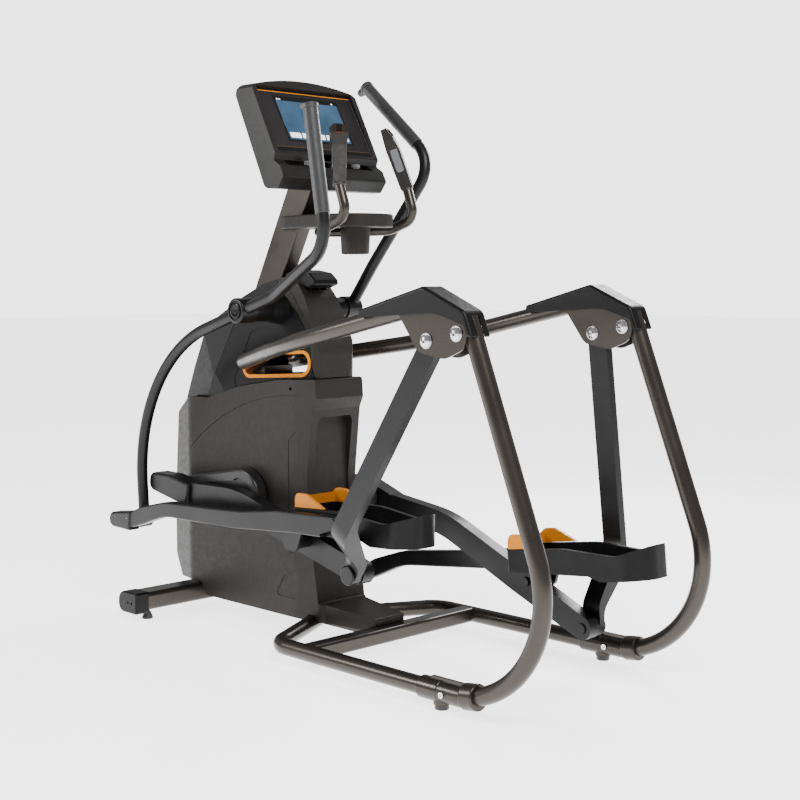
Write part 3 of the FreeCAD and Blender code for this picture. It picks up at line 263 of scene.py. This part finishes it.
def keep(name, bm, matrix, material, body):
    """Turns a finished mesh into a piece that rides on its body."""
    bmesh.ops.transform(bm, matrix=matrix, verts=bm.verts)
    bmesh.ops.recalc_face_normals(bm, faces=bm.faces)
    mesh = bpy.data.meshes.new(name)
    bm.to_mesh(mesh)
    bm.free()
    mesh.materials.append(material)
    for face in mesh.polygons:
        face.use_smooth = True
    obj = bpy.data.objects.new(name, mesh)
    bpy.context.collection.objects.link(obj)
    normals = obj.modifiers.new("normals", "WEIGHTED_NORMAL")
    normals.keep_sharp = True
    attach(obj, body)
    return obj


def pad(name, points, thick, matrix, material, body, edge=0.0006, crown=0.0):
    """Flat moulded piece with rounded edges and a slightly crowned face. Points are in metres."""
    bm = bmesh.new()
    ring = [bm.verts.new((x, y, 0.0)) for x, y in points]
    face = bm.faces.new(ring)
    top = bmesh.ops.extrude_face_region(bm, geom=[face])
    lifted = [v for v in top["geom"] if isinstance(v, bmesh.types.BMVert)]
    bmesh.ops.translate(bm, verts=lifted, vec=(0.0, 0.0, thick))
    upper = [f for f in bm.faces if all(v in lifted for v in f.verts)]
    bmesh.ops.inset_region(bm, faces=upper, thickness=edge * 2.0, depth=0.0)
    core = [f for f in upper if f.is_valid]
    for v in {v for f in core for v in f.verts}:
        v.co.z += crown
    rim = [e for e in bm.edges
           if all(abs(v.co.z - thick) < LEVEL_TOLERANCE for v in e.verts) and len(e.link_faces) == 2
           and any(abs(f.normal.z) < STEEP for f in e.link_faces)]
    bm.normal_update()
    bmesh.ops.bevel(bm, geom=rim, offset=edge, segments=2, affect="EDGES", clamp_overlap=True)
    return keep(name, bm, matrix, material, body)


def box_points(x0, x1, y0, y1, corner=0.0, steps=4):
    """Rounded rectangle."""
    if not corner:
        return [(x0, y0), (x1, y0), (x1, y1), (x0, y1)]
    points = []
    for cx, cy, start in ((x1 - corner, y0 + corner, -90), (x1 - corner, y1 - corner, 0),
                          (x0 + corner, y1 - corner, 90), (x0 + corner, y0 + corner, 180)):
        for i in range(steps + 1):
            a = math.radians(start + 90.0 * i / steps)
            points.append((cx + corner * math.cos(a), cy + corner * math.sin(a)))
    return points


def lathe(name, profile, matrix, material, body, count=48):
    """Turned piece: (radius, height) profile spun about local Z. Values are in millimetres."""
    bm = bmesh.new()
    rings = []
    for radius, height in profile:
        if radius < 0.01:
            rings.append([bm.verts.new((0.0, 0.0, height * MM))])
            continue
        rings.append([bm.verts.new((radius * MM * math.cos(2 * math.pi * i / count),
                                    radius * MM * math.sin(2 * math.pi * i / count), height * MM))
                      for i in range(count)])
    for a, b in zip(rings, rings[1:]):
        for i in range(count):
            j = (i + 1) % count
            if len(a) == 1:
                bm.faces.new((a[0], b[i], b[j]))
            elif len(b) == 1:
                bm.faces.new((a[i], a[j], b[0]))
            else:
                bm.faces.new((a[i], a[j], b[j], b[i]))
    return keep(name, bm, matrix, material, body)


BOLT = [(0.0, 3.0), (3.4, 3.0), (3.6, 6.6), (8.0, 6.9), (10.6, 5.8), (11.6, 3.4), (11.8, 1.6), (14.0, 1.5),
        (14.4, -0.5)]


def side_face(x, y, z, side):
    """Frame on a surface that faces sideways, away from the machine's middle. Machine millimetres."""
    return local((x * MM - CENTRE_X, side * y * MM, z * MM), (1.0, 0.0, 0.0), (0.0, side, 0.0))


def console_details():
    """Bands and picture of the sloping console face: X runs down it and Z stands out of it."""
    face = local((0.712 - CENTRE_X, 0.0, 1.777), (131.0, 0.0, -224.0), (224.0, 0.0, 131.0))

    def raised(height):
        return face @ Matrix.Translation((0.0, 0.0, height))

    def strip(name, x0, x1, half, z, material, thick=0.0008):
        pad(name, box_points(x0 * MM, x1 * MM, -half * MM, half * MM), thick,
            raised(z * MM), material, "frame", 0.0002)

    strip("fascia_stripe", 21.5, 24.5, 201.0, -0.05, AMBER)
    strip("fascia_top_band", 15.6, 20.9, 201.0, -0.05, GLOSS_BLACK)
    strip("fascia_foot_line", 233.0, 235.4, 201.0, -0.05, BROWN, 0.0005)
    strip("fascia_foot_band", 236.4, 250.4, 201.0, -0.05, GLOSS_BLACK, 0.0005)
    for word, side in SIDES.items():
        edge = [(17.0, 201.6), (250.0, 201.6), (250.0, 203.6), (17.0, 203.6)]
        points = [(x * MM, side * y * MM) for x, y in (edge if side > 0 else edge[::-1])]
        pad("fascia_edge_" + word, points, 0.0016, raised(-0.0008), PULSE, "frame", 0.0003)
    strip("display_frame", 38.0, 212.0, 139.0, -0.1, GLOSS_BLACK, 0.0004)
    strip("display_picture", 46.0, 204.0, 131.0, 0.32, PICTURE, 0.0003)
    strip("display_top_bar", 46.0, 56.0, 131.0, 0.62, GLOSS_BLACK, 0.0003)
    for i in range(5):
        left = -124.0 + 51.0 * i
        pad("display_tile_%d" % i, box_points(0.178, 0.197, left * MM, (left + 44.0) * MM, 0.002), 0.0003,
            raised(0.00062), TILE, "frame", 0.0001)
    for i, left in enumerate((-126.0, -116.0, 108.0)):
        pad("display_mark_%d" % i, box_points(0.0485, 0.0535, left * MM, (left + 6.0) * MM, 0.001), 0.0002,
            raised(0.00092), TILE, "frame", 0.0001)
    for word, side in SIDES.items():
        lug = local((0.862 - CENTRE_X, side * 96.0 * MM, 1.5235), (1.0, 0.0, 0.0), (0.0, side, 0.0))
        outline = [(-0.012, -0.007), (0.014, -0.007), (0.019, 0.0), (0.014, 0.008), (-0.012, 0.008)]
        pad("cable_clip_" + word, outline, 0.012, lug, GREY, "frame", 0.0012)


GRIP_LOW, GRIP_HIGH = Vector((1.058, 0.146, 1.449)), Vector((1.008, 0.101, 1.637))
KEY_TILT = math.atan2(15, 40)


def grip_matrix(side):
    """Frame at the foot of a still grip: Z runs up the grip and X to its front."""
    up = (GRIP_HIGH - GRIP_LOW).normalized()
    across = up.cross(Vector((1.0, 0.75, 0.25))).normalized()
    front = across.cross(up).normalized()
    matrix = Matrix((front, across, up)).transposed().to_4x4()
    matrix.translation = GRIP_LOW - Vector((CENTRE_X, 0.0, 0.0))
    return mirror_y() @ matrix if side < 0 else matrix


def grip_details():
    """Keypad, pulse plates and collar of each still grip."""
    for word, side in SIDES.items():
        base = grip_matrix(side)
        head = (base @ Matrix.Translation((0.0075, 0.0, 0.181))
                @ Matrix.Rotation(-math.pi / 2 - KEY_TILT, 4, "Y"))
        pad("keypad_rim_" + word, box_points(-0.0205, 0.0205, -0.0155, 0.0155, 0.004), 0.0009,
            head @ Matrix.Translation((0.0, 0.0, 0.0002)), BROWN, "frame", 0.0003)
        for i, x in enumerate((-0.0068, 0.0068)):
            rim = box_points(x - 0.0058, x + 0.0058, -0.0072, 0.0072, 0.002)
            top = box_points(x - 0.0042, x + 0.0042, -0.0056, 0.0056, 0.0015)
            pad("key_rim_%s_%d" % (word, i), rim, 0.0010, head @ Matrix.Translation((0.0, 0.0, 0.0012)),
                AMBER, "key_" + word, 0.0003)
            pad("key_top_%s_%d" % (word, i), top, 0.0008, head @ Matrix.Translation((0.0, 0.0, 0.0020)),
                GLOSS_BLACK, "key_" + word, 0.0003)
        for i, way in enumerate((-1.0, 1.0)):
            plate = base @ local((0.001, way * 0.0204, 0.052), (0.0, 0.0, 1.0), (0.0, way, 0.0))
            pad("pulse_plate_%s_%d" % (word, i), box_points(0.0, 0.078, -0.0125, 0.0125, 0.008), 0.0014,
                plate, PULSE, "frame", 0.0005, 0.0006)
        lathe("grip_collar_" + word, [(16.1, -3.0), (18.6, -2.4), (19.2, 0.0), (19.2, 4.0), (16.1, 4.4)],
              base @ Matrix.Translation((0.0, 0.0, -0.004)), RUBBER, "frame")


HUB_CAP = [(0.0, -1.6), (3.2, -1.6), (3.4, 1.0), (6.8, 1.4), (8.2, 0.2), (9.0, -0.6), (19.5, 0.6), (23.5, 0.2),
           (24.6, -1.2), (24.6, -4.0)]


def pivots():
    """Caps and rings on the handle hubs, and the bolts at the ends of the crank axle."""
    for word, side in SIDES.items():
        lathe("handle_hub_cap_" + word, HUB_CAP, side_face(690, 263.4, 1059, side), GLOSS_BLACK,
              "handle_" + word)
        lathe("handle_hub_ring_" + word, [(31.6, -0.5), (32.4, 1.1), (36.6, 1.1), (37.4, -0.5)],
              side_face(690, 262.0, 1059, side), BLACK_METAL, "handle_" + word)
        lathe("axle_bolt_" + word, BOLT, side_face(572.5, 152.4, 437.5, side), CHROME, "crank")


SADDLE = {"left": (967.906, 350.118, 0.0), "right": (1547.329, 248.209, -5.656)}


def pedal_matrix(word):
    """Frame of a pedal as it stands at rest, mirrored for the left side."""
    x, z, turn = SADDLE[word]
    place = Matrix.Translation((x * MM - CENTRE_X, 0.0, z * MM)) @ Matrix.Rotation(math.radians(turn), 4, "Y")
    return place @ mirror_y() if word == "left" else place


def pedal_details():
    """Ribbed rubber mat in each foot well, and the screws in the beam caps."""
    floor = 54.2 * MM
    screw = [(0.0, -1.4), (1.2, -1.4), (1.3, 0.0), (2.8, 0.1), (3.6, -0.6)]
    for word in SIDES:
        base = pedal_matrix(word)
        mat = [(0.016, 0.104), (0.262, 0.104), (0.308, 0.112), (0.308, 0.236), (0.262, 0.244), (0.016, 0.244)]
        pad("foot_mat_" + word, mat, 0.0022, base @ Matrix.Translation((0.0, 0.0, floor)), RUBBER,
            "beam_" + word, 0.0005)
        for i in range(13):
            x = 0.030 + 0.0205 * i
            rib = [(x, 0.112), (x + 0.0065, 0.112), (x + 0.0125, 0.174), (x + 0.0065, 0.236), (x, 0.236),
                   (x + 0.006, 0.174)]
            pad("mat_rib_%s_%d" % (word, i), rib, 0.0016, base @ Matrix.Translation((0.0, 0.0, floor + 0.0022)),
                RUBBER, "beam_" + word, 0.0005)
        for i, (dx, dz) in enumerate(((-88, 6), (-78, -16), (-14, 8))):
            toe = Vector((135.551 - 967.906 + dx, 0.0, 317.338 - 350.118 + dz)) * MM
            face = base @ local((toe.x, 0.3032, toe.z), (1.0, 0.0, 0.0), (0.0, 1.0, 0.0))
            lathe("cap_screw_%s_%d" % (word, i), screw, face, STEEL, "beam_" + word, 24)


def tray_details():
    """Rubber mat on the tray and the raised rim of its cup hole."""
    flat = Matrix.Translation((-CENTRE_X, 0.0, 1.3342))
    mat = [(0.818, -0.063), (0.905, -0.080), (0.922, -0.080), (0.922, 0.080), (0.905, 0.080), (0.818, 0.063)]
    pad("tray_mat", mat, 0.0014, flat, RUBBER, "frame", 0.0004)
    rim = [(46.2, 0.0), (47.4, 1.6), (52.6, 1.8), (54.0, 0.3), (54.0, -0.2)]
    lathe("cup_ring", rim, Matrix.Translation((0.972 - CENTRE_X, 0.0, 1.3340)), BLACK_PLASTIC, "frame",
          64)


console_details()
grip_details()
pivots()
pedal_details()
tray_details()


# ---------------------------------------------------------------- studio
def studio():
    """White floor and background with three soft lamps."""
    floor_material = Recipe("studio_floor", (0.90, 0.90, 0.90), 0.6, 0.0, 0.2)
    floor_material.tint(floor_material.noise(1.2, 3.0), 0.006)
    floor_material.vary_roughness(floor_material.noise(4.0, 3.0), 0.04)
    floor_material.set(**{"Emission Color": (1.0, 1.0, 1.0, 1.0), "Emission Strength": 2.6})
    bpy.ops.mesh.primitive_plane_add(size=60.0)
    floor = bpy.context.object
    floor.name = "studio_floor"
    floor.data.materials.append(floor_material.material)
    world = bpy.data.worlds.new("studio")
    world.use_nodes = True
    tree = world.node_tree
    glow = tree.nodes["Background"]
    glow.inputs["Color"].default_value = (1.0, 1.0, 1.0, 1.0)
    glow.inputs["Strength"].default_value = 0.42
    seen = tree.nodes.new("ShaderNodeBackground")
    seen.inputs["Strength"].default_value = 4.2
    path, mix = tree.nodes.new("ShaderNodeLightPath"), tree.nodes.new("ShaderNodeMixShader")
    tree.links.new(path.outputs["Is Camera Ray"], mix.inputs["Fac"])
    tree.links.new(glow.outputs["Background"], mix.inputs[1])
    tree.links.new(seen.outputs["Background"], mix.inputs[2])
    tree.links.new(mix.outputs["Shader"], tree.nodes["World Output"].inputs["Surface"])
    bpy.context.scene.world = world
    softbox("key", (2.8, -1.2, 4.0), (0.2, 0.0, 0.7), 1.8, 210.0)
    softbox("left_strip", (-2.4, -3.0, 2.2), (0.0, 0.0, 0.8), 1.0, 90.0)
    softbox("back_strip", (-0.6, 3.4, 2.6), (0.1, 0.0, 0.8), 1.4, 120.0)


def softbox(name, place, target, size, power):
    light = bpy.data.lights.new(name, "AREA")
    light.size = size
    light.energy = power
    lamp = bpy.data.objects.new(name, light)
    lamp.location = place
    lamp.rotation_euler = (Vector(target) - Vector(place)).to_track_quat("-Z", "Y").to_euler()
    bpy.context.collection.objects.link(lamp)


def camera():
    """Three-quarter view from behind the user's left shoulder, a little above pedal height."""
    azimuth, elevation = math.radians(45.21), math.radians(5.06)
    back = Vector((math.sin(azimuth) * math.cos(elevation), -math.cos(azimuth) * math.cos(elevation),
                   math.sin(elevation)))
    lens = bpy.data.cameras.new("camera")
    lens.lens = 65.16
    view = bpy.data.objects.new("camera", lens)
    view.location = (3.300, -3.147, 1.183)
    view.rotation_euler = (-back).to_track_quat("-Z", "Y").to_euler()
    bpy.context.collection.objects.link(view)
    bpy.context.scene.camera = view


studio()
camera()
